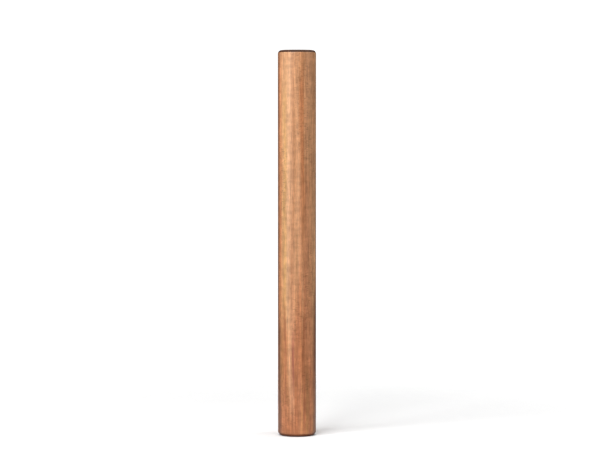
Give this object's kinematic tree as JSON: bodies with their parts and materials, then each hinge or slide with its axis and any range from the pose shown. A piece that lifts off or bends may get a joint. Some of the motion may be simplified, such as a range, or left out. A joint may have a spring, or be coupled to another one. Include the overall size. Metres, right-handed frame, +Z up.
{
  "type": "rainstick",
  "caption": "Closed wooden rainstick: a smooth round tube with thin dark end discs, a helix of wooden pins inside and loose stone beads that trickle from end to end.",
  "frame": {"origin": "middle of the underside of the bottom end disc, where the stick stands", "axes": "+Z up along the stick's axis towards the top end disc; +X towards the first pin of the helix"},
  "size_m": [0.04, 0.04, 0.404],
  "materials": {
    "reddish_wood": "fine-grained reddish-tan hardwood, sanded smooth and oiled to a satin sheen",
    "dark_wood": "dark brown hardwood, rounded over with the sleeve and oiled",
    "core_wood": "pale unfinished wood",
    "plug_wood": "pale unfinished end-grain wood",
    "pin_wood": "straw-coloured split bamboo, unfinished",
    "bead_stone": "tumbled natural stone, matt to silky"
  },
  "bodies": {
    "stick": {"outer_sleeve": "reddish_wood", "core_tube": "core_wood", "bottom_plug": "plug_wood", "top_plug": "plug_wood", "bottom_end_disc": "dark_wood", "top_end_disc": "dark_wood", "pins_turn_01": "pin_wood", "pins_turn_02": "pin_wood", "pins_turn_03": "pin_wood", "pins_turn_04": "pin_wood", "pins_turn_05": "pin_wood", "pins_turn_06": "pin_wood", "pins_turn_07": "pin_wood", "pins_turn_08": "pin_wood", "pins_turn_09": "pin_wood", "pins_turn_10": "pin_wood", "pins_turn_11": "pin_wood", "pins_turn_12": "pin_wood", "pins_turn_13": "pin_wood", "pins_turn_14": "pin_wood", "pins_turn_15": "pin_wood"},
    "beads_1": {"beads_lane_1": "bead_stone"},
    "beads_2": {"beads_lane_2": "bead_stone"},
    "beads_3": {"beads_lane_3": "bead_stone"},
    "beads_4": {"beads_lane_4": "bead_stone"},
    "beads_5": {"beads_lane_5": "bead_stone"},
    "beads_6": {"beads_lane_6": "bead_stone"}
  },
  "joints": [
    {"name": "beads_1_run", "type": "slide", "parent": "stick", "child": "beads_1", "axis": [0, 0, 1], "range_m": [0, 0.3365]},
    {"name": "beads_2_run", "type": "slide", "parent": "stick", "child": "beads_2", "axis": [0, 0, 1], "range_m": [0, 0.3365]},
    {"name": "beads_3_run", "type": "slide", "parent": "stick", "child": "beads_3", "axis": [0, 0, 1], "range_m": [0, 0.3365]},
    {"name": "beads_4_run", "type": "slide", "parent": "stick", "child": "beads_4", "axis": [0, 0, 1], "range_m": [0, 0.3365]},
    {"name": "beads_5_run", "type": "slide", "parent": "stick", "child": "beads_5", "axis": [0, 0, 1], "range_m": [0, 0.3365]},
    {"name": "beads_6_run", "type": "slide", "parent": "stick", "child": "beads_6", "axis": [0, 0, 1], "range_m": [0, 0.3365]}
  ]
}
